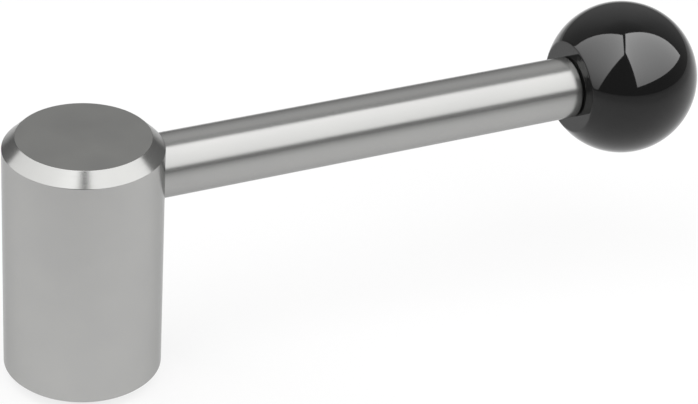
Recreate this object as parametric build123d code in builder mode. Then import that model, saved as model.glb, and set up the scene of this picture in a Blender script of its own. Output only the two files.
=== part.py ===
# Adjustable clamping lever. A turned steel hub carries a side arm with a ball knob and turns on a
# tapped insert. Teeth on the insert's head lock into teeth inside the hub. Lifting the lever
# against its spring frees the teeth, so that the arm can be set to another angle.
# Millimetres. The origin is the centre of the insert's foot face, Z points up through the hub and
# the arm runs along X.

from build123d import *

import os
from math import cos, radians, sqrt, tan

# Hub, turned from round bar, closed at the top and bored from below
hub_diameter = 24.5
hub_height = 40.0
hub_top_chamfer = 2.0
hub_edge_break = 0.4
hub_foot_gap = 1.5
bore_diameter = 18.0
bore_roof = 1.9
bore_lead_in = 0.7

# Arm, a straight drawn bar seated in a blind cross hole and turned down to a stud at its far end
arm_diameter = 10.0
arm_drop = 7.6
arm_reach = 94.6
arm_past_axis = 5.0
arm_seat_chamfer = 0.5
arm_tip_chamfer = 0.35
arm_seat_clearance = 0.02
drill_point_angle = 118.0

# Stud of the arm in the knob's bush, drawn at the thread's pitch diameter
stud_diameter = 5.35
stud_length = 10.0
stud_tip_chamfer = 0.6
stud_neck_diameter = 4.5
stud_neck_width = 1.4
stud_clearance = 0.03

# Ball knob, moulded round its bush
ball_diameter = 25.0
ball_flat_diameter = 15.0
ball_rim_radius = 0.3

# Bush of the knob, knurled and grooved so that the moulding holds it
bush_diameter = 9.0
bush_length = 12.5
bush_groove_width = 2.0
bush_groove_depth = 0.7
knurl_count = 18
knurl_depth = 0.35

# Teeth that lock the hub to the insert
tooth_count = 24
tooth_depth = 1.2
tooth_flank_angle = 30.0
tooth_gap_width = 0.5
tooth_engagement = 4.0
tooth_lead_in = 0.5
tooth_clearance = 0.08
slotting_relief_height = 1.5
slotting_relief_depth = 0.3
release_clearance = 0.6

# Insert, which stays with the stud that it is screwed on
shank_diameter = 14.0
head_top_gap = 0.1
head_overhang = 0.4
foot_chamfer = 0.6
tap_drill_diameter = 8.5
tap_drill_depth = 20.0
countersink_diameter = 10.2
countersink_angle = 120.0

# Retaining ring, an open ring of flat wire sprung into a groove near the hub's mouth
ring_thickness = 1.0
ring_width = 1.7
ring_lip = 2.0
ring_gap = 4.0
groove_depth = 0.65
groove_side_play = 0.1
ring_back_clearance = 0.05

# Thrust washer between the ring and the spring
washer_thickness = 1.2
washer_clearance = 0.08
washer_rim_clearance = 0.15
washer_edge_break = 0.15

# Compression spring with closed and ground ends. Eight flats stand for the round of its wire.
spring_wire = 1.2
spring_wire_flats = 8
spring_open_turns = 3
spring_end_turns = 1
spring_end_gap = 0.1
spring_ground_share = 0.75

# Radii
hub_radius = hub_diameter / 2
bore_radius = bore_diameter / 2
arm_radius = arm_diameter / 2
arm_hole_radius = arm_radius + arm_seat_clearance
ball_radius = ball_diameter / 2
ball_flat_radius = ball_flat_diameter / 2
bush_radius = bush_diameter / 2
stud_radius = stud_diameter / 2
shank_radius = shank_diameter / 2
tap_drill_radius = tap_drill_diameter / 2
countersink_radius = countersink_diameter / 2
tooth_tip_radius = bore_radius - tooth_clearance
tooth_root_radius = tooth_tip_radius - tooth_depth
groove_radius = bore_radius + groove_depth
ring_radius = groove_radius - ring_back_clearance
spring_radius = (shank_radius + bore_radius) / 2

# Half angles of the drill points, the countersink and the gaps between teeth
drill_point_half_angle = radians(drill_point_angle / 2)
countersink_half_angle = radians(countersink_angle / 2)
tooth_flank = radians(tooth_flank_angle)

# Heights, from the foot face up
hub_bottom = hub_foot_gap
hub_top = hub_bottom + hub_height
arm_z = hub_top - arm_drop
bore_end = arm_z - arm_radius - bore_roof
relief_bottom = bore_end - slotting_relief_height
hub_teeth_bottom = relief_bottom - tooth_engagement
head_top = bore_end - head_top_gap
head_bottom = hub_teeth_bottom - head_overhang
ring_bottom = hub_bottom + ring_lip
washer_bottom = ring_bottom + ring_thickness
spring_bottom = washer_bottom + washer_thickness
spring_length = head_bottom - spring_bottom

# Distances along the arm, from the hub's axis
shoulder_x = arm_reach - sqrt(ball_radius**2 - ball_flat_radius**2)
stud_end_x = shoulder_x + stud_length
bush_end_x = shoulder_x + bush_length

# Travel of the hub from locked teeth to free teeth
lift_travel = head_top - hub_teeth_bottom + release_clearance

arm_axis = Axis((0, 0, arm_z), (1, 0, 0))
arm_plane = Plane(origin=(0, 0, arm_z), x_dir=(1, 0, 0), z_dir=(0, -1, 0))
shoulder_plane = Plane(origin=(shoulder_x, 0, arm_z), x_dir=(0, 1, 0), z_dir=(1, 0, 0))

os.makedirs("parts", exist_ok=True)


def tooth_outline(growth):
    """Outline of the toothed head, grown outwards all round by a clearance."""
    root = tooth_root_radius + growth
    tip = tooth_tip_radius + growth
    root_half = tooth_gap_width / 2 + growth * (tan(tooth_flank) - 1 / cos(tooth_flank))
    past_tip = 1.5 * tooth_depth
    mouth_half = root_half + past_tip * tan(tooth_flank)
    with BuildSketch(Plane.XY) as outline:
        Circle(tip)
        with PolarLocations(root, tooth_count):
            Polygon(
                (0, -root_half),
                (past_tip, -mouth_half),
                (past_tip, mouth_half),
                (0, root_half),
                align=None,
                mode=Mode.SUBTRACT,
            )
    return outline.sketch


# Toothed outlines of the insert's head and of the space that the hub's teeth leave
head_outline = tooth_outline(0)
hub_teeth_outline = tooth_outline(tooth_clearance)

# Hub: outside, bore with its lead-in, tool relief above the teeth, teeth, ring groove, arm hole
with BuildPart() as hub:
    with BuildSketch(Plane.XZ) as hub_section:
        with BuildLine():
            Polyline(
                (0, hub_bottom),
                (hub_radius - hub_edge_break, hub_bottom),
                (hub_radius, hub_bottom + hub_edge_break),
                (hub_radius, hub_top - hub_top_chamfer),
                (hub_radius - hub_top_chamfer, hub_top),
                (0, hub_top),
                close=True,
            )
        make_face()
    revolve(axis=Axis.Z)
    with BuildSketch(Plane.XZ) as bore_section:
        with BuildLine():
            Polyline(
                (0, hub_bottom),
                (bore_radius + bore_lead_in, hub_bottom),
                (bore_radius, hub_bottom + bore_lead_in),
                (bore_radius, hub_teeth_bottom),
                (tooth_root_radius + tooth_clearance + tooth_lead_in, hub_teeth_bottom),
                (tooth_root_radius + tooth_clearance, hub_teeth_bottom + tooth_lead_in),
                (tooth_root_radius + tooth_clearance, relief_bottom),
                (bore_radius + slotting_relief_depth, relief_bottom),
                (bore_radius + slotting_relief_depth, bore_end),
                (0, bore_end),
                close=True,
            )
        make_face()
    revolve(axis=Axis.Z, mode=Mode.SUBTRACT)
    with BuildSketch(Plane.XY.offset(hub_teeth_bottom)):
        add(hub_teeth_outline)
    extrude(amount=tooth_engagement, mode=Mode.SUBTRACT)
    with BuildSketch(Plane.XY.offset(ring_bottom)):
        Circle(groove_radius)
    extrude(amount=ring_thickness + groove_side_play, mode=Mode.SUBTRACT)
    with BuildSketch(arm_plane) as arm_hole_section:
        with BuildLine():
            drill_point = arm_hole_radius / tan(drill_point_half_angle)
            Polyline(
                (-arm_past_axis - drill_point, 0),
                (-arm_past_axis, arm_hole_radius),
                (hub_diameter, arm_hole_radius),
                (hub_diameter, 0),
                close=True,
            )
        make_face()
    revolve(axis=arm_axis, mode=Mode.SUBTRACT)
hub.part.label = "hub"
export_step(hub.part, "parts/hub.step")

# Arm: bar, seat end, shoulder against the knob, thread neck and stud
with BuildPart() as lever_arm:
    with BuildSketch(arm_plane) as arm_section:
        with BuildLine():
            Polyline(
                (-arm_past_axis, 0),
                (-arm_past_axis, arm_radius - arm_seat_chamfer),
                (-arm_past_axis + arm_seat_chamfer, arm_radius),
                (shoulder_x - arm_tip_chamfer, arm_radius),
                (shoulder_x, arm_radius - arm_tip_chamfer),
                (shoulder_x, stud_neck_diameter / 2),
                (shoulder_x + stud_neck_width, stud_neck_diameter / 2),
                (shoulder_x + stud_neck_width, stud_radius),
                (stud_end_x - stud_tip_chamfer, stud_radius),
                (stud_end_x, stud_radius - stud_tip_chamfer),
                (stud_end_x, 0),
                close=True,
            )
        make_face()
    revolve(axis=arm_axis)
lever_arm.part.label = "lever_arm"
export_step(lever_arm.part, "parts/lever_arm.step")

# Outside of the bush: knurled body with a groove that holds it in the moulding
with BuildPart() as bush_body:
    with BuildSketch(shoulder_plane) as bush_face:
        Circle(bush_radius)
        with PolarLocations(bush_radius, knurl_count):
            Rectangle(sqrt(2) * knurl_depth, sqrt(2) * knurl_depth, rotation=45, mode=Mode.SUBTRACT)
    extrude(amount=bush_length)
    with BuildSketch(arm_plane) as bush_groove_section:
        with Locations(((shoulder_x + bush_end_x) / 2, bush_radius)):
            Rectangle(bush_groove_width, 2 * bush_groove_depth)
    revolve(axis=arm_axis, mode=Mode.SUBTRACT)

# Bush: that body with a through bore for the stud
with BuildPart() as knob_bush:
    add(bush_body.part)
    with BuildSketch(shoulder_plane) as bush_bore_face:
        Circle(stud_radius + stud_clearance)
    extrude(amount=bush_length, mode=Mode.SUBTRACT)
knob_bush.part.label = "knob_bush"
export_step(knob_bush.part, "parts/knob_bush.step")

# Ball: sphere with a flat towards the hub, moulded round the bush
with BuildPart() as ball_knob:
    with BuildSketch(arm_plane) as ball_section:
        with Locations((arm_reach, 0)):
            Circle(ball_radius)
        with Locations((shoulder_x, 0)):
            Rectangle(ball_diameter, ball_radius, align=Align.MIN, mode=Mode.INTERSECT)
        fillet(ball_section.vertices().group_by(Axis.X)[0].sort_by(Axis.Z)[-1], ball_rim_radius)
    revolve(axis=arm_axis)
    add(bush_body.part, mode=Mode.SUBTRACT)
ball_knob.part.label = "ball_knob"
export_step(ball_knob.part, "parts/ball_knob.step")

# Insert: toothed head, plain shank, blind tapped hole drawn at its tapping drill
with BuildPart() as threaded_insert:
    with BuildSketch(Plane.XY) as shank_section:
        Circle(shank_radius)
    extrude(amount=head_bottom)
    chamfer(threaded_insert.edges().sort_by(Axis.Z)[0], foot_chamfer)
    with BuildSketch(Plane.XY.offset(head_bottom)):
        add(head_outline)
    extrude(amount=head_top - head_bottom)
    with BuildSketch(Plane.XZ) as head_lead_section:
        with BuildLine():
            Polyline(
                (tooth_tip_radius - tooth_lead_in, head_top),
                (tooth_tip_radius, head_top - tooth_lead_in),
                (tooth_tip_radius, head_top),
                close=True,
            )
        make_face()
    revolve(axis=Axis.Z, mode=Mode.SUBTRACT)
    with BuildSketch(Plane.XZ) as tapped_hole_section:
        with BuildLine():
            countersink_depth = (countersink_radius - tap_drill_radius) / tan(countersink_half_angle)
            drill_tip = tap_drill_depth + tap_drill_radius / tan(drill_point_half_angle)
            Polyline(
                (0, 0),
                (countersink_radius, 0),
                (tap_drill_radius, countersink_depth),
                (tap_drill_radius, tap_drill_depth),
                (0, drill_tip),
                close=True,
            )
        make_face()
    revolve(axis=Axis.Z, mode=Mode.SUBTRACT)
threaded_insert.part.label = "threaded_insert"
export_step(threaded_insert.part, "parts/threaded_insert.step")

# Retaining ring: flat wire, open on the side away from the arm
with BuildPart() as retaining_ring:
    with BuildSketch(Plane.XY.offset(ring_bottom)):
        Circle(ring_radius)
        Circle(ring_radius - ring_width, mode=Mode.SUBTRACT)
        Rectangle(ring_radius, ring_gap, align=(Align.MAX, Align.CENTER), mode=Mode.SUBTRACT)
    extrude(amount=ring_thickness)
retaining_ring.part.label = "retaining_ring"
export_step(retaining_ring.part, "parts/retaining_ring.step")

# Thrust washer: runs on the shank and lies on the ring
with BuildPart() as thrust_washer:
    with BuildSketch(Plane.XY.offset(washer_bottom)):
        Circle(bore_radius - washer_rim_clearance)
        Circle(shank_radius + washer_clearance, mode=Mode.SUBTRACT)
    extrude(amount=washer_thickness)
    chamfer(thrust_washer.edges().filter_by(GeomType.CIRCLE), washer_edge_break)
thrust_washer.part.label = "thrust_washer"
export_step(thrust_washer.part, "parts/thrust_washer.step")

# Spring: closed end coils that lie against their neighbours, open coils between, ground ends
with BuildPart() as compression_spring:
    ground = spring_ground_share * spring_wire
    end_rise = (spring_wire + spring_end_gap) * spring_end_turns
    open_rise = spring_length - spring_wire + 2 * ground - 2 * end_rise
    coil_start = spring_bottom + spring_wire / 2 - ground
    end_coil = (end_rise, spring_end_turns)
    with BuildLine() as spring_line:
        for rise, turns in (end_coil, (open_rise, spring_open_turns), end_coil):
            Helix(rise / turns, rise, spring_radius, center=(0, 0, coil_start))
            coil_start += rise
    with BuildSketch(spring_line.line ^ 0):
        RegularPolygon(spring_wire / 2, spring_wire_flats, major_radius=False)
    sweep(is_frenet=True)
    split(bisect_by=Plane.XY.offset(spring_bottom), keep=Keep.TOP)
    split(bisect_by=Plane.XY.offset(head_bottom), keep=Keep.BOTTOM)
compression_spring.part.label = "compression_spring"
export_step(compression_spring.part, "parts/compression_spring.step")

print(f"The hub lifts {lift_travel:.2f} mm. The spring is {spring_length:.2f} mm long at rest.")
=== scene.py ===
"""Looks of an adjustable clamping lever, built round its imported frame.

The lever is a turned steel hub with a side arm and a ball knob. It turns on a tapped insert and locks on
teeth inside the hub. Z points up through the hub and the arm runs along X. Lengths are metres and angles
radians, except where a note says degrees.
"""

import logging
import math
from collections.abc import Mapping, Sequence
from dataclasses import dataclass, replace
from enum import Enum
from typing import NamedTuple

import bmesh
import bpy
from bmesh.types import BMEdge, BMesh, BMVert
from bpy.types import Material, Node, NodeSocket, NodeTree, Object, World
from mathutils import Matrix, Vector


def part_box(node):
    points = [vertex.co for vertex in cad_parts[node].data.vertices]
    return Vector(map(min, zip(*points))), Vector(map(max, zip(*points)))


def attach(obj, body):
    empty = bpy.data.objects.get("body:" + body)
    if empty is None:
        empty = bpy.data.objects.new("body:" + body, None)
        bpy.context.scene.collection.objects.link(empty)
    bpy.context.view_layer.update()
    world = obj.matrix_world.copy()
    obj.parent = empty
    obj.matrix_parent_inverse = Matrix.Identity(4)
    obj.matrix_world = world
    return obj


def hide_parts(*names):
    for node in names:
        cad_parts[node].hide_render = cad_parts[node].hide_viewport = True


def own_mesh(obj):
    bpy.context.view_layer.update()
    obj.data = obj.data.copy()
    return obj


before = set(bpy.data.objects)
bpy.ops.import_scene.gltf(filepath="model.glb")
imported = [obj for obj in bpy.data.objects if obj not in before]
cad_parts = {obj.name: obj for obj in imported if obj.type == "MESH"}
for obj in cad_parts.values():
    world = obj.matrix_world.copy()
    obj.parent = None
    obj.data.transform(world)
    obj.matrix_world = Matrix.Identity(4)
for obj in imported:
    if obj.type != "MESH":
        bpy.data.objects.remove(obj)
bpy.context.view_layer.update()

log = logging.getLogger("clamping_lever")

MM = 0.001
FULL_TURN = 2 * math.pi
Z_AXIS = Vector((0, 0, 1))
WELD = 0.0005 * MM
SHARP_ANGLE = math.radians(32)
# Radius at which the marks of a turned face have their true length.
ARC_RADIUS = 12 * MM
# Most of a noise texture's values lie between these.
NOISE_RANGE = (0.25, 0.75)
# Edges of a pit's floor and of its rim, in pit spacings from its middle.
PIT_RANGE = (0.05, 0.22)
# Depth of the pits, in depths of the marks.
PIT_DEPTH = 1.5

Pairs = tuple[tuple[float, float], ...]


class Room(NamedTuple):
    """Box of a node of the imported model, by its lowest and its highest corner."""

    low: Vector
    high: Vector

    @property
    def level(self) -> float:
        """Return the height of its middle."""
        return (self.low.z + self.high.z) / 2

    @property
    def radius(self) -> float:
        """Return half its height, the radius of a round piece that lies along X."""
        return (self.high.z - self.low.z) / 2


HUB = Room(*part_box("hub"))
ARM = Room(*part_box("lever_arm"))
BALL = Room(*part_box("ball_knob"))
BUSH = Room(*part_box("knob_bush"))
INSERT = Room(*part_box("threaded_insert"))
SPRING = Room(*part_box("compression_spring"))
WASHER = Room(*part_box("thrust_washer"))
RING = Room(*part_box("retaining_ring"))
BALL_CENTRE = BALL.high.x - BALL.radius
# The arm's shoulder and the knob's flat meet here, along X.
SHOULDER = BUSH.low.x
# Lays a shape made along Z onto the arm's axis.
ALONG_ARM = Matrix.Translation((0, 0, ARM.level)) @ Matrix.Rotation(math.pi / 2, 4, "Y")


class Body(Enum):
    """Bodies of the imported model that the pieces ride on."""

    INSERT = "insert"
    WASHER = "washer"
    LEVER = "lever"


class Lay(Enum):
    """Direction in which a surface was worked."""

    NONE = "tumbled or coated, with no direction"
    RINGS = "turned, in rings round the Z axis"
    LENGTHWISE = "drawn or ground along the X axis"


def linear(hex_colour: str) -> tuple[float, float, float, float]:
    """Turn an sRGB colour into the linear one that shaders take.

    Args:
        hex_colour: Six hex digits after a hash sign.

    Returns:
        Linear red, green and blue, and an alpha of one.
    """
    channels = [int(hex_colour[at : at + 2], 16) / 255 for at in (1, 3, 5)]
    curve = [c / 12.92 if c <= 0.04045 else ((c + 0.055) / 1.055) ** 2.4 for c in channels]
    return (curve[0], curve[1], curve[2], 1.0)


def direction(azimuth: float, elevation: float) -> Vector:
    """Point the way that a compass bearing and a height angle give.

    Args:
        azimuth: Degrees from the +Y axis towards the +X axis.
        elevation: Degrees above the horizon.

    Returns:
        A unit vector.
    """
    around, above = math.radians(azimuth), math.radians(elevation)
    flat = math.cos(above)
    return Vector((flat * math.sin(around), flat * math.cos(around), math.sin(above)))


def add_node(
    tree: NodeTree, kind: str, inputs: Mapping[str | int, object] | None = None, **settings: object
) -> Node:
    """Add a shader node with its settings, values and links.

    Args:
        tree: Node tree that gets the node.
        kind: Type name of the node, less the ShaderNode that it starts with.
        inputs: Input sockets by name or index, each with a value, with an output socket to link from, or with
            a node whose first output is linked.
        **settings: Properties of the node itself.

    Returns:
        The new node.
    """
    node = tree.nodes.new(f"ShaderNode{kind}")
    for name, value in settings.items():
        setattr(node, name, value)
    for socket, value in (inputs or {}).items():
        source = value.outputs[0] if isinstance(value, Node) else value
        if isinstance(source, NodeSocket):
            tree.links.new(source, node.inputs[socket])
        else:
            node.inputs[socket].default_value = source
    return node


def ranged(
    tree: NodeTree,
    value: Node | NodeSocket,
    source: tuple[float, float],
    target: tuple[object, object] = (0, 1),
    **settings: object,
) -> Node:
    """Map a value from one range to another, held at both ends.

    Args:
        tree: Node tree that gets the node.
        value: What is mapped.
        source: Ends of its own range.
        target: Ends of the new range, as numbers, sockets or nodes.
        **settings: Properties of the node.

    Returns:
        The new node.
    """
    inputs = dict(zip(("Value", "From Min", "From Max", "To Min", "To Max"), (value, *source, *target)))
    return add_node(tree, "MapRange", inputs, **settings)


def empty_tree(owner: Material | World) -> NodeTree:
    """Switch a node tree on and empty it.

    Args:
        owner: What the tree belongs to.

    Returns:
        The empty tree.
    """
    owner.use_nodes = True
    owner.node_tree.nodes.clear()
    return owner.node_tree


@dataclass(frozen=True)
class SteelFinish:
    """Bare or plated metal with a worked surface."""

    name: str  # the real metal and how it was finished
    colour: str  # what it reflects, as sRGB hex
    stain: str  # second colour, in broad soft patches
    roughness: float
    roughness_spread: float  # either side of the mean
    mark_width: float  # across the lay
    mark_depth: float
    patch_size: float
    lay: Lay = Lay.NONE
    mark_length: float = MM  # along the lay, unused where there is none
    pit_spacing: float = 0.0  # zero for no pits
    metallic: float = 1.0  # less where a coating or fine scratches scatter the light
    edge_share: float = 0.68  # of a perfect edge's mirror reflection, kept at 82 degrees

    def lay_vector(self, tree: NodeTree) -> Node:
        """Return coordinates, in mark widths, that are stretched along the lay.

        Args:
            tree: Node tree of the material.

        Returns:
            The node that gives them.
        """
        place = add_node(tree, "TexCoord").outputs["Object"]
        across, along = 1 / self.mark_width, 1 / self.mark_length
        if self.lay is Lay.RINGS:
            x, y, z = add_node(tree, "SeparateXYZ", {0: place}).outputs
            level = add_node(tree, "CombineXYZ", {0: x, 1: y})
            radius = add_node(tree, "VectorMath", {0: level}, operation="LENGTH").outputs["Value"]
            angle = add_node(tree, "Math", {0: y, 1: x}, operation="ARCTAN2")
            arc = add_node(tree, "Math", {0: angle, 1: ARC_RADIUS}, operation="MULTIPLY")
            place = add_node(tree, "CombineXYZ", {0: radius, 1: arc, 2: z})
            scale = (across, along, across)
        elif self.lay is Lay.LENGTHWISE:
            scale = (along, across, across)
        else:
            scale = (across, across, across)
        return add_node(tree, "Mapping", {"Vector": place, "Scale": scale})

    def material(self) -> Material:
        """Build the finish.

        Returns:
            The material.
        """
        made = bpy.data.materials.new(self.name)
        tree = empty_tree(made)
        place = add_node(tree, "TexCoord").outputs["Object"]
        marks = add_node(tree, "TexNoise", {"Vector": self.lay_vector(tree), "Scale": 1.0, "Detail": 3.0})
        broad = {"Vector": place, "Scale": 1 / self.patch_size, "Detail": 2.0, "Roughness": 0.4}
        patches = add_node(tree, "TexNoise", broad)
        colours = {0: patches, 6: linear(self.colour), 7: linear(self.stain)}
        low, high = self.roughness - self.roughness_spread, self.roughness + self.roughness_spread
        bump = add_node(tree, "Bump", {"Height": marks, "Distance": self.mark_depth, "Strength": 1.0})
        if self.pit_spacing:
            cells = add_node(tree, "TexVoronoi", {"Vector": place, "Scale": 1 / self.pit_spacing})
            pits = {"Height": ranged(tree, cells, PIT_RANGE), "Distance": PIT_DEPTH * self.mark_depth}
            bump = add_node(tree, "Bump", {**pits, "Strength": 1.0, "Normal": bump})
        surface = add_node(
            tree,
            "BsdfPrincipled",
            {
                "Base Color": add_node(tree, "Mix", colours, data_type="RGBA").outputs[2],
                "Metallic": self.metallic,
                "Specular Tint": (self.edge_share, self.edge_share, self.edge_share, 1),
                "Roughness": ranged(tree, marks, NOISE_RANGE, (low, high)),
                "Normal": bump,
            },
        )
        add_node(tree, "OutputMaterial", {"Surface": surface})
        return made


@dataclass(frozen=True)
class MouldedFinish:
    """Glossy moulded plastic."""

    name: str  # the real plastic and how it was made
    colour: str  # of the body, as sRGB hex
    roughness: float
    ior: float  # refractive index
    ripple_size: float  # width of the slow waves in the skin
    ripple_depth: float

    def material(self) -> Material:
        """Build the finish.

        Returns:
            The material.
        """
        made = bpy.data.materials.new(self.name)
        tree = empty_tree(made)
        place = add_node(tree, "TexCoord").outputs["Object"]
        ripple = add_node(tree, "TexNoise", {"Vector": place, "Scale": 1 / self.ripple_size, "Detail": 1.0})
        bump = add_node(tree, "Bump", {"Height": ripple, "Distance": self.ripple_depth, "Strength": 1.0})
        skin = {"Base Color": linear(self.colour), "Roughness": self.roughness, "IOR": self.ior}
        surface = add_node(tree, "BsdfPrincipled", {**skin, "Normal": bump})
        add_node(tree, "OutputMaterial", {"Surface": surface})
        return made


# Stainless steel, turned and then tumbled: a satin light grey with fine pits and hardly any tool marks.
HUB_STEEL = SteelFinish(
    name="stainless_steel_turned_and_tumbled",
    colour="#ACACAB",
    stain="#B1B1AF",
    roughness=0.22,
    roughness_spread=0.04,
    mark_width=0.5 * MM,
    mark_depth=0.0006 * MM,
    patch_size=6 * MM,
    pit_spacing=1.6 * MM,
)

# The hub's top, faced off and tumbled with the rest, with its marks in rings. Its colour is a darker copy of
# the side's steel: painted shade on the top face.
PAINTED_SHADE_TOP_STEEL = SteelFinish(
    name="stainless_steel_faced_painted_shade",
    colour="#979796",
    stain="#A9A9A6",
    roughness=0.36,
    roughness_spread=0.05,
    lay=Lay.RINGS,
    mark_width=0.25 * MM,
    mark_length=5 * MM,
    mark_depth=0.0012 * MM,
    patch_size=8 * MM,
)

# The hub's chamfer, turned last with a fine feed: brighter and crisper than the faces beside it.
CHAMFER_STEEL = SteelFinish(
    name="stainless_steel_fine_turned",
    colour="#A2A2A1",
    stain="#A7A7A5",
    roughness=0.19,
    roughness_spread=0.03,
    lay=Lay.RINGS,
    mark_width=0.12 * MM,
    mark_length=9 * MM,
    mark_depth=0.0006 * MM,
    patch_size=3 * MM,
)

# Stainless bar, drawn and ground: brighter and smoother than the hub, with a faint grain along it.
ARM_STEEL = SteelFinish(
    name="stainless_bar_drawn_and_ground",
    colour="#A5A5A4",
    stain="#AAAAA8",
    roughness=0.22,
    roughness_spread=0.03,
    lay=Lay.LENGTHWISE,
    mark_width=0.4 * MM,
    mark_length=14 * MM,
    mark_depth=0.001 * MM,
    patch_size=9 * MM,
    metallic=0.85,
    edge_share=0.62,
)

# Free-cutting steel, turned and slotted: mid grey with fine rings from the tool.
INSERT_STEEL = SteelFinish(
    name="free_cutting_steel_turned",
    colour="#9C9A97",
    stain="#A6A39E",
    roughness=0.27,
    roughness_spread=0.05,
    lay=Lay.RINGS,
    mark_width=0.15 * MM,
    mark_length=12 * MM,
    mark_depth=0.002 * MM,
    patch_size=4 * MM,
)

# Spring wire, drawn and oil tempered: dark brownish grey with a dull sheen.
SPRING_STEEL = SteelFinish(
    name="spring_wire_oil_tempered",
    colour="#5A5551",
    stain="#4A4542",
    roughness=0.36,
    roughness_spread=0.06,
    mark_width=0.3 * MM,
    mark_depth=0.002 * MM,
    patch_size=2 * MM,
)

# Stamped steel with a clear zinc plating: bluish white, fairly bright, with a fine orange peel.
WASHER_STEEL = SteelFinish(
    name="steel_zinc_plated_clear",
    colour="#B9BEC3",
    stain="#C3C6C8",
    roughness=0.28,
    roughness_spread=0.05,
    mark_width=0.35 * MM,
    mark_depth=0.002 * MM,
    patch_size=2.5 * MM,
)

# Flat spring wire with a phosphate coating: dark grey and matt, with a fine crystal grain.
RING_STEEL = SteelFinish(
    name="spring_steel_phosphated",
    colour="#3C3D3F",
    stain="#48484A",
    roughness=0.55,
    roughness_spread=0.08,
    mark_width=0.12 * MM,
    mark_depth=0.003 * MM,
    patch_size=2 * MM,
    metallic=0.7,
)

# Free-cutting brass, turned and knurled: bright yellow with a fine tool grain.
BUSH_BRASS = SteelFinish(
    name="brass_turned_and_knurled",
    colour="#C8A860",
    stain="#BD9A52",
    roughness=0.25,
    roughness_spread=0.05,
    mark_width=0.2 * MM,
    mark_depth=0.002 * MM,
    patch_size=2 * MM,
)

# Phenolic resin, compression moulded in a polished mould: near black and mirror smooth.
KNOB_PLASTIC = MouldedFinish(
    name="phenolic_resin_moulded_black",
    colour="#080808",
    roughness=0.05,
    ior=1.438,
    ripple_size=4 * MM,
    ripple_depth=0.002 * MM,
)


class Point(NamedTuple):
    """Corner of a turned outline."""

    radius: float  # from the turning axis
    along: float  # along the axis
    edge: float = 0.0  # setback of the rounding here


def held(outline: Sequence[Point]) -> list[Point]:
    """Add a point on each side of every rounded corner, which keeps the shading of its two faces true.

    Args:
        outline: Corners in order. The ends of an open outline aren't rounded.

    Returns:
        The outline with its added points.
    """
    full: list[Point] = []
    for at, point in enumerate(outline):
        place = Vector((point.radius, point.along))
        sides: list[list[Point]] = []
        for near in (outline[at - 1], outline[(at + 1) % len(outline)]):
            way = Vector((near.radius, near.along)) - place
            beside = place + 2 * point.edge * way.normalized()
            sides.append([Point(*beside)] if point.edge and way.length > 4 * point.edge else [])
        full += [*sides[0], point, *sides[1]]
    return full


def welded(shape: BMesh) -> BMesh:
    """Merge doubles, drop collapsed faces and turn every face outwards.

    Args:
        shape: Mesh to clean, in place.

    Returns:
        The same mesh.
    """
    bmesh.ops.remove_doubles(shape, verts=shape.verts[:], dist=WELD)
    bmesh.ops.dissolve_degenerate(shape, edges=shape.edges[:], dist=WELD)
    bmesh.ops.recalc_face_normals(shape, faces=shape.faces[:])
    return shape


def rounded(shape: BMesh, corners: Sequence[BMVert], edge: float) -> None:
    """Round corners of a flat outline.

    Args:
        shape: Mesh that holds the outline, changed in place.
        corners: Its corners to round.
        edge: Setback of the rounding.
    """
    bmesh.ops.bevel(
        shape, geom=corners, offset=edge, segments=3, profile=0.5, affect="VERTICES", material=-1
    )


def spun(
    shape: BMesh,
    items: Sequence[object],
    angle: float,
    steps: int,
    climb: Sequence[float] = (0, 0, 0),
    merge: bool = False,
) -> list[object]:
    """Spin parts of a mesh round the Z axis.

    Args:
        shape: Mesh, changed in place.
        items: Its vertices, edges and faces to spin.
        angle: Angle of the whole spin, in radians.
        steps: Number of steps.
        climb: Shift at each step.
        merge: Whether the last step joins the first.

    Returns:
        The vertices, edges and faces of the last step.
    """
    made = bmesh.ops.spin(
        shape,
        geom=items,
        cent=(0, 0, 0),
        axis=Z_AXIS,
        dvec=climb,
        angle=angle,
        steps=steps,
        use_merge=merge,
    )
    return made["geom_last"]


def turned(outline: Sequence[Point], steps: int, closed: bool = False) -> BMesh:
    """Turn an outline once round the Z axis.

    Args:
        outline: Corners in order. An open outline starts and ends on the axis.
        steps: Number of faces round the turn.
        closed: Whether the last corner joins the first.

    Returns:
        A closed mesh.
    """
    shape = bmesh.new()
    points = held(outline)
    corners = [shape.verts.new((point.radius, 0, point.along)) for point in points]
    following = corners[1:] + corners[:1] if closed else corners[1:]
    for start, end in zip(corners, following):
        shape.edges.new((start, end))
    for corner, point in zip(corners, points):
        if point.edge:
            rounded(shape, [corner], point.edge)
    spun(shape, shape.verts[:] + shape.edges[:], FULL_TURN, steps, merge=True)
    return welded(shape)


def cut_level(shape: BMesh, level: float, keep_above: bool) -> None:
    """Cut a mesh flat across the Z axis and close the cut.

    Args:
        shape: Mesh to cut, in place.
        level: Height of the cut.
        keep_above: Whether the part above the cut stays, and not the part below.
    """
    bmesh.ops.bisect_plane(
        shape,
        geom=shape.verts[:] + shape.edges[:] + shape.faces[:],
        dist=WELD,
        plane_co=(0, 0, level),
        plane_no=Z_AXIS,
        clear_inner=keep_above,
        clear_outer=not keep_above,
    )
    rim = [edge for edge in shape.edges if edge.is_boundary]
    bmesh.ops.holes_fill(shape, edges=rim, sides=0)


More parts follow.
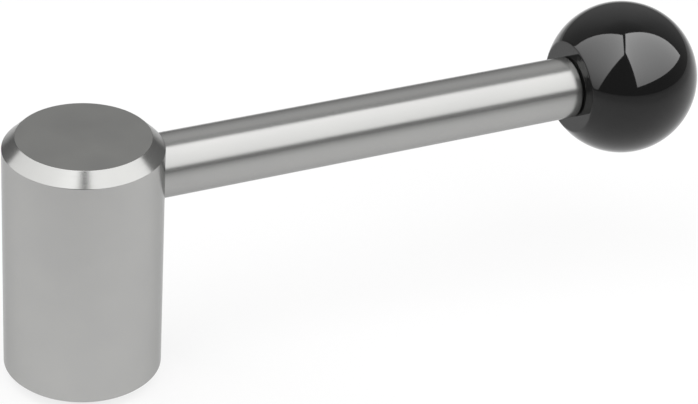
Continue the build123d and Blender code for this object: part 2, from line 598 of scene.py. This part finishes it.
@dataclass(frozen=True)
class NotchRing:
    """Equal notches round a circle, which open outwards between straight flanks."""

    count: int
    floor_radius: float  # at the middle of a notch's floor
    rim_radius: float  # of the lands between the notches
    floor_width: float
    flank_angle: float  # to the notch's middle line
    phase: float = 0.0  # angle of the first notch

    # Meshes that the notches are cut in have this many steps for each notch.
    STEPS = 8

    def grown(self, clearance: float) -> "NotchRing":
        """Return the ring with its whole outline moved outwards.

        Args:
            clearance: Distance to move by, square to each face.

        Returns:
            The larger ring.
        """
        lean = math.tan(self.flank_angle) - 1 / math.cos(self.flank_angle)
        return replace(
            self,
            floor_radius=self.floor_radius + clearance,
            rim_radius=self.rim_radius + clearance,
            floor_width=self.floor_width + 2 * clearance * lean,
        )

    def half_angle(self, radius: float) -> float:
        """Return the angle from a notch's middle to its flank.

        Args:
            radius: Radius at which the flank is met.

        Returns:
            The angle in radians.
        """
        lean = math.sin(self.flank_angle)
        offset = self.floor_radius * lean - self.floor_width / 2 * math.cos(self.flank_angle)
        return self.flank_angle - math.asin(offset / radius)

    def shape(self, mesh: BMesh, low: float, high: float, bore: bool) -> None:
        """Move the points of a round band onto the notched outline.

        Args:
            mesh: Turned mesh with STEPS steps for each notch, changed in place.
            low: Lowest height of the band.
            high: Highest height of the band.
            bore: Whether the band is a bore, whose material is outside it.
        """
        pitch = FULL_TURN / self.count
        middle_radius = (self.floor_radius + self.rim_radius) / 2
        targets = (self.floor_radius, self.floor_radius, middle_radius, self.rim_radius, self.rim_radius)
        for vert in mesh.verts:
            radius = vert.co.xy.length
            if not low - WELD < vert.co.z < high + WELD:
                continue
            if not self.floor_radius - WELD < radius < self.rim_radius + WELD:
                continue
            turn = (math.atan2(vert.co.y, vert.co.x) - self.phase) / pitch
            notch = round(turn)
            column = round((turn - notch) * self.STEPS)
            wanted = targets[abs(column)]
            radius = max(radius, wanted) if bore else min(radius, wanted)
            if abs(column) == self.STEPS // 2:
                angle = pitch / 2
            else:
                angle = self.half_angle(radius) if column else 0.0
            angle = notch * pitch + self.phase + math.copysign(angle, column)
            vert.co.x = radius * math.cos(angle)
            vert.co.y = radius * math.sin(angle)


@dataclass(frozen=True)
class Thread:
    """Sixty degree screw thread, as a rod with raised turns."""

    core: float  # radius between the turns
    crest: float  # radius over the turns
    pitch: float
    steps: int  # faces round a turn

    def rod(self, start: float, end: float) -> BMesh:
        """Build a length of the threaded rod along Z.

        Args:
            start: Height of its flat lower end.
            end: Height of its flat upper end.

        Returns:
            A closed mesh.
        """
        flank = (self.crest - self.core) * math.tan(math.radians(30))
        land = self.pitch / 8
        floor = self.pitch - land - 2 * flank
        turns = math.ceil((end - start) / self.pitch) + 2
        outline = (
            (self.core, 0.0),
            (self.core, floor),
            (self.crest, floor + flank),
            (self.crest, floor + flank + land),
            (self.core, self.pitch),
        )
        shape = bmesh.new()
        corners = [shape.verts.new((radius, 0, start - self.pitch + rise)) for radius, rise in outline]
        for first, second in zip(corners, corners[1:]):
            shape.edges.new((first, second))
        climb = Z_AXIS * self.pitch / self.steps
        spun(shape, shape.verts[:] + shape.edges[:], FULL_TURN * turns, self.steps * turns, climb)
        bmesh.ops.remove_doubles(shape, verts=shape.verts[:], dist=WELD)
        cut_level(shape, start, keep_above=True)
        cut_level(shape, end, keep_above=False)
        return welded(shape)


def rectangle(radii: tuple[float, float], levels: tuple[float, float], edge: float) -> tuple[Point, ...]:
    """Return a closed outline with four rounded corners.

    Args:
        radii: Its inner and outer radius.
        levels: Its lower and upper height.
        edge: Setback of the corners' rounding.

    Returns:
        The four corners.
    """
    (inner, outer), (low, high) = radii, levels
    return tuple(Point(*place, edge) for place in ((inner, low), (outer, low), (outer, high), (inner, high)))


def link_mesh(name: str, shape: BMesh, *materials: Material) -> Object:
    """Turn a bmesh into an object at the origin, and free the bmesh.

    Args:
        name: Name of the object and its mesh.
        shape: Finished mesh, in place.
        *materials: Its materials, in the order of their slots.

    Returns:
        The object, linked to the scene.
    """
    mesh = bpy.data.meshes.new(name)
    shape.to_mesh(mesh)
    shape.free()
    for material in materials:
        mesh.materials.append(material)
    made = bpy.data.objects.new(name, mesh)
    bpy.context.scene.collection.objects.link(made)
    return made


class Operation(Enum):
    """What a tool shape does to a body."""

    CUT = "DIFFERENCE"
    JOIN = "UNION"


def work(body: Object, tool: BMesh, operation: Operation) -> None:
    """Cut a tool shape out of a body, or join it on.

    Args:
        body: Object whose mesh is changed.
        tool: Closed mesh, which is used up.
        operation: Whether the tool is cut out or joined.
    """
    cutter = link_mesh("tool", tool)
    step = body.modifiers.new("step", "BOOLEAN")
    step.operation = operation.value
    step.solver = "EXACT"
    step.object = cutter
    graph = bpy.context.evaluated_depsgraph_get()
    blank = body.data
    body.data = bpy.data.meshes.new_from_object(body.evaluated_get(graph))
    body.modifiers.clear()
    bpy.data.meshes.remove(blank)
    bpy.data.objects.remove(cutter)
    shape = bmesh.new()
    shape.from_mesh(body.data)
    welded(shape).to_mesh(body.data)
    shape.free()


@dataclass(frozen=True)
class Station:
    """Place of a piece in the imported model."""

    node: str  # CAD node that the piece stands for
    body: Body  # body that it rides on
    slot: str  # the record's material slot of its finish

    def settle(self, piece: Object) -> None:
        """Shade a finished piece, put it on its body and report it.

        Args:
            piece: Object whose mesh is complete.
        """
        piece.data.shade_smooth()
        piece.data.set_sharp_from_angle(angle=SHARP_ANGLE)
        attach(piece, self.body.value)
        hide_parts(self.node)
        log.info("%s: %d faces, on body %s", piece.name, len(piece.data.polygons), self.body.value)


@dataclass(frozen=True)
class PhotoCamera:
    """Camera at the reference's viewing angle."""

    azimuth: float = -28.165  # degrees round the object, with 0 looking along +Y
    elevation: float = 30.705  # degrees above the horizon
    roll: float = 3.706  # degrees that the horizon is turned in the picture
    aim: tuple[float, float, float] = (41.863 * MM, -6.679 * MM, 24.859 * MM)  # point on the optical axis
    distance: float = 418.33 * MM  # from that point
    lens: float = 137.80  # focal length in millimetres on the default sensor

    def build(self) -> Object:
        """Make the camera and give it to the scene.

        Returns:
            The camera object.
        """
        back = direction(180 - self.azimuth, self.elevation)
        level_right = (-back).cross(Z_AXIS).normalized()
        right = Matrix.Rotation(math.radians(self.roll), 3, back) @ level_right
        up = back.cross(right)
        data = bpy.data.cameras.new("photo_camera")
        data.lens = self.lens
        camera = bpy.data.objects.new("photo_camera", data)
        turn = Matrix((right, up, back)).transposed().to_4x4()
        camera.matrix_world = Matrix.Translation(Vector(self.aim) + self.distance * back) @ turn
        bpy.context.scene.collection.objects.link(camera)
        bpy.context.scene.camera = camera
        return camera


@dataclass(frozen=True)
class SoftboxPanel:
    """Large soft light, seen as a bright four-sided shape in the polished surfaces."""

    name: str
    corners: Pairs  # azimuths and elevations in degrees, seen from the ball
    low: float  # radiance at the horizon
    high: float  # radiance overhead
    distance: float = 0.9  # from the ball's middle to each corner

    def material(self) -> Material:
        """Build the glowing cloth, which is brighter towards its top.

        Returns:
            The material.
        """
        made = bpy.data.materials.new(f"{self.name}_cloth")
        tree = empty_tree(made)
        place = add_node(tree, "TexCoord").outputs["Object"]
        height = add_node(tree, "SeparateXYZ", {0: place}).outputs[2]
        strength = ranged(tree, height, (0, self.distance), (self.low, self.high))
        glow = add_node(tree, "Emission", {"Strength": strength})
        surface = add_node(tree, "AddShader", {0: glow, 1: add_node(tree, "BsdfTransparent")})
        add_node(tree, "OutputMaterial", {"Surface": surface})
        return made

    def build(self, only_for: Object | None = None) -> Object:
        """Make the panel.

        Args:
            only_for: The one piece that the panel lights, or None for all of them.

        Returns:
            The panel's object, which the camera doesn't see.
        """
        shape = bmesh.new()
        for azimuth, elevation in self.corners:
            shape.verts.new((BALL.low + BALL.high) / 2 + self.distance * direction(azimuth, elevation))
        bmesh.ops.contextual_create(shape, geom=shape.verts[:])
        panel = link_mesh(self.name, shape, self.material())
        panel.visible_camera = False
        if only_for:
            receivers = bpy.data.collections.new(f"{self.name}_receivers")
            receivers.objects.link(only_for)
            panel.light_linking.receiver_collection = receivers
        return panel


RIGHT_CORNERS = ((95, 13), (-172.5, 12), (-151.5, 64), (25, 85))
LEFT_CORNERS = ((-43, 1), (-26, 85.5), (-147, 60.5), (-115, 1))


@dataclass(frozen=True)
class Studio:
    """Pale floor with a painted pool of light, two softboxes, a second pair for the knob alone and a dim
    surround.
    """

    floor_width: float = 6.0
    floor_colour: str = "#F2F2F2"
    floor_glow: float = 0.8  # share of glow in its look, which is a painted pool of light; the rest is paper, which takes the shadow
    painted_pool_centre: tuple[float, float, float] = (0.085, 0.1, 0.0)  # middle of the painted pool of light, where the floor's glow is evenly white
    painted_pool_radius: float = 0.11
    painted_pool_fade: float = 0.36  # distance from the middle where the painted pool is dimmest
    painted_pool_far: float = 0.5  # radiance of the painted pool there
    backdrop_azimuth: float = 22.0  # degrees from +Y towards +X
    # Radiances over and under the horizon, each after the cosine of its bearing from the backdrop's middle.
    above: Pairs = ((-0.5, 0.156), (0.3, 0.28), (0.72, 0.437), (0.95, 0.64))
    below: Pairs = ((-0.93, 0.44), (-0.75, 0.58), (-0.5, 0.63), (0.35, 0.64), (0.62, 0.48), (0.95, 0.4))
    overhead: float = 0.2
    horizon: float = 0.18
    straight_down: float = 0.68
    softboxes: tuple[SoftboxPanel, ...] = (
        SoftboxPanel("softbox_right", RIGHT_CORNERS, low=1.44, high=2.22),
        SoftboxPanel("softbox_left", LEFT_CORNERS, low=0.66, high=2.89),
    )
    boosters: tuple[SoftboxPanel, ...] = (
        SoftboxPanel("booster_right", RIGHT_CORNERS, low=0.78, high=6.1, distance=0.85),
        SoftboxPanel("booster_left", LEFT_CORNERS, low=0.16, high=3.9, distance=0.85),
    )

    def by_bearing(self, tree: NodeTree, facing: NodeSocket, stops: Pairs) -> Node:
        """Vary a radiance with the bearing.

        Args:
            tree: Node tree of the world.
            facing: Cosine of the bearing from the backdrop's middle.
            stops: Pairs of a cosine and a radiance, with rising cosines.

        Returns:
            The node that gives the radiance.
        """
        ramp = add_node(tree, "ValToRGB", {0: ranged(tree, facing, (-1, 1))})
        elements = ramp.color_ramp.elements
        while len(elements) < len(stops):
            elements.new(1.0)
        for element, (cosine, radiance) in zip(elements, stops):
            element.position = (cosine + 1) / 2
            element.color = (radiance, radiance, radiance, 1)
        return ramp

    def world(self) -> World:
        """Build the surround: pale under the horizon, with a grey backdrop over it and dark elsewhere.

        Returns:
            The world.
        """
        made = bpy.data.worlds.new("studio_surround")
        tree = empty_tree(made)
        way = add_node(tree, "TexCoord").outputs["Generated"]
        x, y, height = add_node(tree, "SeparateXYZ", {0: way}).outputs
        flat = add_node(tree, "CombineXYZ", {0: x, 1: y})
        bearing = add_node(tree, "VectorMath", {0: flat}, operation="NORMALIZE")
        both = {0: bearing, 1: direction(self.backdrop_azimuth, 0)}
        facing = add_node(tree, "VectorMath", both, operation="DOT_PRODUCT").outputs["Value"]
        radiance = self.straight_down
        # Sines of the heights between which one radiance gives way to the next.
        for start, end, level in (
            (-1.0, -0.3, self.by_bearing(tree, facing, self.below)),
            (-0.22, -0.12, self.horizon),
            (-0.05, 0.65, self.by_bearing(tree, facing, self.above)),
            (0.82, 1.0, self.overhead),
        ):
            radiance = ranged(tree, height, (start, end), (radiance, level))
        surround = add_node(tree, "Background", {"Color": linear("#FFFFFF"), "Strength": radiance})
        add_node(tree, "OutputWorld", {"Surface": surround})
        return made

    def floor_material(self) -> Material:
        """Build the floor's pale paper with a painted pool of light: white in the middle and dimmer further
        out, with the shadow kept, and clear from below.

        Returns:
            The material.
        """
        made = bpy.data.materials.new("pale_paper_painted_pool")
        tree = empty_tree(made)
        paper = add_node(tree, "BsdfDiffuse", {"Color": linear(self.floor_colour)})
        place = add_node(tree, "TexCoord").outputs["Object"]
        # Painted pool of light: the glow is full white near the pool's middle and dims with distance from it.
        away = add_node(tree, "VectorMath", {0: place, 1: self.painted_pool_centre}, operation="DISTANCE")
        fade = ((self.painted_pool_radius, self.painted_pool_fade), (1.0, self.painted_pool_far))
        level = ranged(tree, away.outputs["Value"], *fade, interpolation_type="SMOOTHSTEP")
        white = add_node(tree, "Emission", {"Strength": level})
        seen = add_node(tree, "MixShader", {0: self.floor_glow, 1: paper, 2: white})
        side = add_node(tree, "NewGeometry").outputs["Backfacing"]
        surface = add_node(tree, "MixShader", {0: side, 1: seen, 2: add_node(tree, "BsdfTransparent")})
        add_node(tree, "OutputMaterial", {"Surface": surface})
        return made

    def build(self, knob: Object) -> None:
        """Make the floor, the surround and the softboxes.

        Args:
            knob: The black knob, which has its own softboxes.
        """
        bpy.context.scene.world = self.world()
        shape = bmesh.new()
        bmesh.ops.create_grid(shape, size=self.floor_width / 2)
        floor = link_mesh("floor", shape, self.floor_material())
        floor.visible_diffuse = False
        floor.visible_shadow = False
        for panel in self.softboxes:
            panel.build()
        for panel in self.boosters:
            panel.build(only_for=knob)


# Gaps between the teeth of the insert's head. The hub's teeth fill them, less a clearance.
HEAD_TEETH = NotchRing(
    count=24,
    floor_radius=7.72 * MM,
    rim_radius=8.92 * MM,
    floor_width=0.5 * MM,
    flank_angle=math.radians(30),
)
TOOTH_CLEARANCE = 0.08 * MM
DRILL_POINT = math.radians(59)


@dataclass(frozen=True)
class Hub:
    """Turned hub with a blind bore from below, internal teeth and a cross hole for the arm."""

    top_chamfer: float = 2.0 * MM
    chamfer_edge: float = 0.04 * MM  # rounding of the chamfer's edges
    foot_break: float = 0.4 * MM  # width of the foot's broken edge
    bore_radius: float = 9.0 * MM
    lead_in: float = 0.7 * MM  # width of the chamfer at the bore's mouth
    groove_depth: float = 0.65 * MM
    groove_height: float = 1.1 * MM
    tooth_length: float = 4.0 * MM
    tooth_lead: float = 0.5 * MM  # width of the chamfer on the teeth's lower ends
    relief_height: float = 1.5 * MM  # tool relief over the teeth
    relief_depth: float = 0.3 * MM  # into the bore's wall
    roof_gap: float = 0.1 * MM  # between the insert's top and the bore's end
    seat_clearance: float = 0.02 * MM  # radial, between the arm and its hole

    def blank(self) -> BMesh:
        """Turn the hub, with its bore, groove and teeth.

        Returns:
            The mesh, with the chamfer in the second material slot and the top in the third.
        """
        teeth = HEAD_TEETH.grown(TOOTH_CLEARANCE)
        bore_end = INSERT.high.z + self.roof_gap
        relief = bore_end - self.relief_height
        teeth_low = relief - self.tooth_length
        top, foot, side, bore = HUB.high.z, HUB.low.z, HUB.high.x, self.bore_radius
        groove, groove_low = bore + self.groove_depth, RING.low.z
        shape = turned(
            (
                Point(0, top),
                Point(side - self.top_chamfer, top, self.chamfer_edge),
                Point(side, top - self.top_chamfer, self.chamfer_edge),
                Point(side, foot + self.foot_break, self.chamfer_edge),
                Point(side - self.foot_break, foot),
                Point(bore + self.lead_in, foot),
                Point(bore, foot + self.lead_in),
                Point(bore, groove_low),
                Point(groove, groove_low),
                Point(groove, groove_low + self.groove_height),
                Point(bore, groove_low + self.groove_height),
                Point(bore, teeth_low),
                Point(teeth.floor_radius + self.tooth_lead, teeth_low),
                Point(teeth.floor_radius, teeth_low + self.tooth_lead),
                Point(teeth.floor_radius, relief),
                Point(bore + self.relief_depth, relief),
                Point(bore + self.relief_depth, bore_end),
                Point(0, bore_end),
            ),
            steps=teeth.count * teeth.STEPS,
        )
        teeth.shape(shape, teeth_low, relief, bore=True)
        for face in shape.faces:
            if face.calc_center_median().z > top - self.top_chamfer:
                leans = face.normal.z < 0.95
                face.material_index = 1 if leans else 2
        return welded(shape)

    def arm_hole(self) -> BMesh:
        """Turn the space of the blind cross hole, drill point included.

        Returns:
            The mesh, on the arm's axis.
        """
        radius = ARM.radius + self.seat_clearance
        point = radius / math.tan(DRILL_POINT)
        outline = (
            Point(0, ARM.low.x - point),
            Point(radius, ARM.low.x),
            Point(radius, 2 * HUB.high.x),
            Point(0, 2 * HUB.high.x),
        )
        shape = turned(outline, steps=96)
        bmesh.ops.transform(shape, matrix=ALONG_ARM, verts=shape.verts[:])
        return shape

    def build(self) -> None:
        """Make the hub and dress it."""
        finishes = (HUB_STEEL, CHAMFER_STEEL, PAINTED_SHADE_TOP_STEEL)
        hub = link_mesh("turned_hub", self.blank(), *(finish.material() for finish in finishes))
        work(hub, self.arm_hole(), Operation.CUT)
        Station("hub", Body.LEVER, "hub_steel").settle(hub)


@dataclass(frozen=True)
class SideArm:
    """Drawn bar that is seated in the hub and turned down to a threaded stud for the knob."""

    seat_chamfer: float = 0.5 * MM  # on the end in the hub
    shoulder_chamfer: float = 0.35 * MM  # beside the knob
    edge: float = 0.08 * MM  # rounding of that chamfer's outer edge
    neck_radius: float = 2.25 * MM  # between shoulder and thread
    neck_length: float = 1.4 * MM
    root_radius: float = 2.4 * MM  # of the stud between its thread's turns
    stud_chamfer: float = 0.6 * MM
    thread: Thread = Thread(core=2.36 * MM, crest=2.95 * MM, pitch=1.0 * MM, steps=64)
    thread_inset: float = 0.1 * MM  # from each end of the stud to the thread's flat end

    def build(self) -> None:
        """Make the arm and dress it."""
        stud_start = SHOULDER + self.neck_length
        stud_edge = ARM.high.x - self.stud_chamfer
        bar = turned(
            (
                Point(0, ARM.low.x),
                Point(ARM.radius - self.seat_chamfer, ARM.low.x),
                Point(ARM.radius, ARM.low.x + self.seat_chamfer),
                Point(ARM.radius, SHOULDER - self.shoulder_chamfer, self.edge),
                Point(ARM.radius - self.shoulder_chamfer, SHOULDER),
                Point(self.neck_radius, SHOULDER),
                Point(self.neck_radius, stud_start),
                Point(self.root_radius, stud_start),
                Point(self.root_radius, stud_edge),
                Point(self.root_radius - self.stud_chamfer / 2, ARM.high.x),
                Point(0, ARM.high.x),
            ),
            steps=128,
        )
        arm = link_mesh("drawn_arm", bar, ARM_STEEL.material())
        turns = self.thread.rod(stud_start + self.thread_inset, stud_edge - self.thread_inset)
        work(arm, turns, Operation.JOIN)
        arm.data.transform(ALONG_ARM)
        Station("lever_arm", Body.LEVER, "arm_steel").settle(arm)


@dataclass(frozen=True)
class BallKnob:
    """Ball with a flat towards the hub, moulded round a knurled and grooved bush."""

    rim_edge: float = 0.14 * MM  # rounding of the flat's rim
    knurl_count: int = 18
    knurl_depth: float = 0.35 * MM
    groove_width: float = 2.0 * MM
    groove_depth: float = 0.7 * MM
    bore_radius: float = 2.5 * MM  # of the bush, inside its thread
    thread: Thread = Thread(core=2.43 * MM, crest=3.02 * MM, pitch=1.0 * MM, steps=72)
    arc_steps: int = 72  # straight runs that make the ball's round outline

    def knurl(self) -> NotchRing:
        """Space the notches of the knurl, with one on the Y axis.

        Returns:
            The notches.
        """
        return NotchRing(
            count=self.knurl_count,
            floor_radius=BUSH.radius - self.knurl_depth,
            rim_radius=BUSH.radius,
            floor_width=0.0,
            flank_angle=math.radians(45),
            phase=math.pi / self.knurl_count,
        )

    def bush_side(self) -> tuple[Point, ...]:
        """Draw the bush's side, from its end in the ball to the flat.

        Returns:
            Its corners.
        """
        radius, floor = BUSH.radius, BUSH.radius - self.groove_depth
        middle = (SHOULDER + BUSH.high.x) / 2
        return (
            Point(radius, BUSH.high.x),
            Point(radius, middle + self.groove_width / 2),
            Point(floor, middle + self.groove_width / 2),
            Point(floor, middle - self.groove_width / 2),
            Point(radius, middle - self.groove_width / 2),
            Point(radius, SHOULDER),
        )

    def ball(self) -> BMesh:
        """Turn the ball round the space of its bush.

        Returns:
            The mesh, along Z.
        """
        flat = BALL_CENTRE - SHOULDER
        flat_angle = math.acos(flat / BALL.radius)
        sweep = (math.pi - flat_angle) / self.arc_steps
        arc = [
            Point(
                BALL.radius * math.sin(flat_angle + sweep * step),
                BALL_CENTRE - BALL.radius * math.cos(flat_angle + sweep * step),
                0.0 if step else self.rim_edge,
            )
            for step in range(self.arc_steps + 1)
        ]
        arc[-1] = Point(0, BALL_CENTRE + BALL.radius)
        outline = (Point(0, BUSH.high.x), *self.bush_side(), *arc)
        knurl = self.knurl()
        shape = turned(outline, steps=knurl.count * knurl.STEPS)
        knurl.shape(shape, SHOULDER, BUSH.high.x, bore=True)
        return welded(shape)

    def bush(self) -> BMesh:
        """Turn the bush with its knurl and its plain bore.

        Returns:
            The mesh, along Z.
        """
        bore = (Point(self.bore_radius, SHOULDER), Point(self.bore_radius, BUSH.high.x))
        knurl = self.knurl()
        shape = turned((*self.bush_side(), *bore), steps=knurl.count * knurl.STEPS, closed=True)
        knurl.shape(shape, SHOULDER, BUSH.high.x, bore=False)
        return welded(shape)

    def build(self) -> Object:
        """Make the ball and its bush, and dress them.

        Returns:
            The ball.
        """
        ball = link_mesh("moulded_ball", self.ball(), KNOB_PLASTIC.material())
        bush = link_mesh("knurled_bush", self.bush(), BUSH_BRASS.material())
        work(bush, self.thread.rod(SHOULDER - MM, BUSH.high.x + MM), Operation.CUT)
        for piece in (ball, bush):
            piece.data.transform(ALONG_ARM)
        Station("ball_knob", Body.LEVER, "knob_plastic").settle(ball)
        Station("knob_bush", Body.LEVER, "bush_brass").settle(bush)
        return ball


@dataclass(frozen=True)
class TappedInsert:
    """Insert with a toothed head, a plain shank and a blind tapped hole."""

    shank_radius: float = 7.0 * MM
    foot_chamfer: float = 0.6 * MM
    foot_edge: float = 0.08 * MM  # rounding of that chamfer's edges
    head_lead: float = 0.5 * MM  # width of the chamfer on the teeth's upper ends
    drill_radius: float = 4.25 * MM
    drill_depth: float = 20.0 * MM  # to the drill's corners
    sink_radius: float = 5.1 * MM  # of the countersink
    sink_angle: float = math.radians(60)  # half the countersink's angle
    thread: Thread = Thread(core=4.19 * MM, crest=5.0 * MM, pitch=1.5 * MM, steps=96)
    thread_depth: float = 17.0 * MM

    def build(self) -> None:
        """Make the insert and dress it."""
        sink_depth = (self.sink_radius - self.drill_radius) / math.tan(self.sink_angle)
        drill_tip = self.drill_depth + self.drill_radius / math.tan(DRILL_POINT)
        rim, head, top = HEAD_TEETH.rim_radius, SPRING.high.z, INSERT.high.z
        blank = turned(
            (
                Point(0, drill_tip),
                Point(self.drill_radius, self.drill_depth),
                Point(self.drill_radius, sink_depth),
                Point(self.sink_radius, 0),
                Point(self.shank_radius - self.foot_chamfer, 0, self.foot_edge),
                Point(self.shank_radius, self.foot_chamfer, self.foot_edge),
                Point(self.shank_radius, head),
                Point(rim, head),
                Point(rim, top - self.head_lead),
                Point(rim - self.head_lead, top),
                Point(0, top),
            ),
            steps=HEAD_TEETH.count * HEAD_TEETH.STEPS,
        )
        HEAD_TEETH.shape(blank, head, top, bore=False)
        insert = link_mesh("tapped_insert", welded(blank), INSERT_STEEL.material())
        work(insert, self.thread.rod(-MM, self.thread_depth), Operation.CUT)
        Station("threaded_insert", Body.INSERT, "insert_steel").settle(insert)


@dataclass(frozen=True)
class SpringPack:
    """Compression spring, the washer under it and the ring that holds both in the hub."""

    wire_radius: float = 0.6 * MM
    coil_radius: float = 8.0 * MM  # to the wire's middle
    end_rise: float = 1.3 * MM  # of each closed end turn
    open_turns: int = 3
    ground: float = 0.9 * MM  # height of wire that is ground off each end
    wire_faces: int = 20  # round the wire
    coil_steps: int = 96  # in one turn
    washer_radius: float = 8.85 * MM
    washer_bore: float = 7.08 * MM
    washer_edge: float = 0.12 * MM
    ring_radius: float = 9.6 * MM
    ring_width: float = 1.7 * MM  # radial
    ring_height: float = 1.0 * MM
    ring_gap: float = 4.0 * MM
    ring_edge: float = 0.1 * MM

    def coil(self) -> BMesh:
        """Wind the spring, turn by turn, and grind its ends flat.

        Returns:
            The mesh.
        """
        start = SPRING.low.z + self.wire_radius - self.ground
        end = SPRING.high.z - self.wire_radius + self.ground
        open_rise = end - start - 2 * self.end_rise
        shape = bmesh.new()
        upright = Matrix.Translation((self.coil_radius, 0, start)) @ Matrix.Rotation(math.pi / 2, 4, "X")
        bmesh.ops.create_circle(shape, radius=self.wire_radius, segments=self.wire_faces, matrix=upright)
        section = shape.verts[:] + shape.edges[:]
        first = shape.edges[:]
        for rise, turns in ((self.end_rise, 1), (open_rise, self.open_turns), (self.end_rise, 1)):
            steps = turns * self.coil_steps
            section = spun(shape, section, FULL_TURN * turns, steps, Z_AXIS * rise / steps)
        last = [item for item in section if isinstance(item, BMEdge)]
        for loop in (first, last):
            bmesh.ops.contextual_create(shape, geom=loop)
        cut_level(shape, SPRING.low.z, keep_above=True)
        cut_level(shape, SPRING.high.z, keep_above=False)
        return welded(shape)

    def washer(self) -> BMesh:
        """Return the turned washer."""
        sides = ((self.washer_bore, self.washer_radius), (WASHER.low.z, SPRING.low.z))
        return turned(rectangle(*sides, self.washer_edge), steps=128, closed=True)

    def ring(self) -> BMesh:
        """Bend the retaining ring, with its gap on the side away from the arm.

        Returns:
            The mesh.
        """
        inner = self.ring_radius - self.ring_width
        shape = bmesh.new()
        levels = (RING.low.z, RING.low.z + self.ring_height)
        outline = held(rectangle((inner, self.ring_radius), levels, self.ring_edge))
        corners = [shape.verts.new((point.radius, 0, point.along)) for point in outline]
        bmesh.ops.contextual_create(shape, geom=corners)
        rounded(shape, [corner for corner, point in zip(corners, outline) if point.edge], self.ring_edge)
        half_gap = math.asin(self.ring_gap / (inner + self.ring_radius))
        turn = Matrix.Rotation(half_gap - math.pi, 3, "Z")
        bmesh.ops.rotate(shape, cent=(0, 0, 0), matrix=turn, verts=shape.verts[:])
        start = shape.verts[:]
        whole = shape.verts[:] + shape.edges[:] + shape.faces[:]
        last = spun(shape, whole, FULL_TURN - 2 * half_gap, steps=120)
        end = [item for item in last if isinstance(item, BMVert)]
        for verts, side in ((start, -1), (end, 1)):
            for vert in verts:
                radius = vert.co.xy.length
                vert.co.y = side * self.ring_gap / 2
                vert.co.x = -math.sqrt(radius**2 - vert.co.y**2)
        return welded(shape)

    def build(self) -> None:
        """Make the spring, the washer and the ring, and dress them."""
        spring = link_mesh("coil_spring", self.coil(), SPRING_STEEL.material())
        washer = link_mesh("slide_washer", self.washer(), WASHER_STEEL.material())
        ring = link_mesh("open_ring", self.ring(), RING_STEEL.material())
        Station("compression_spring", Body.INSERT, "spring_steel").settle(spring)
        Station("thrust_washer", Body.WASHER, "washer_steel").settle(washer)
        Station("retaining_ring", Body.LEVER, "ring_steel").settle(ring)
        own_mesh(spring)


def main() -> None:
    """Build the studio and the lever, piece by piece."""
    logging.basicConfig(level=logging.INFO, format="%(name)s: %(message)s")
    bpy.context.scene.view_settings.view_transform = "Standard"
    PhotoCamera().build()
    Studio().build(BallKnob().build())
    for assembly in (Hub(), SideArm(), TappedInsert(), SpringPack()):
        assembly.build()


if __name__ == "__main__":
    main()
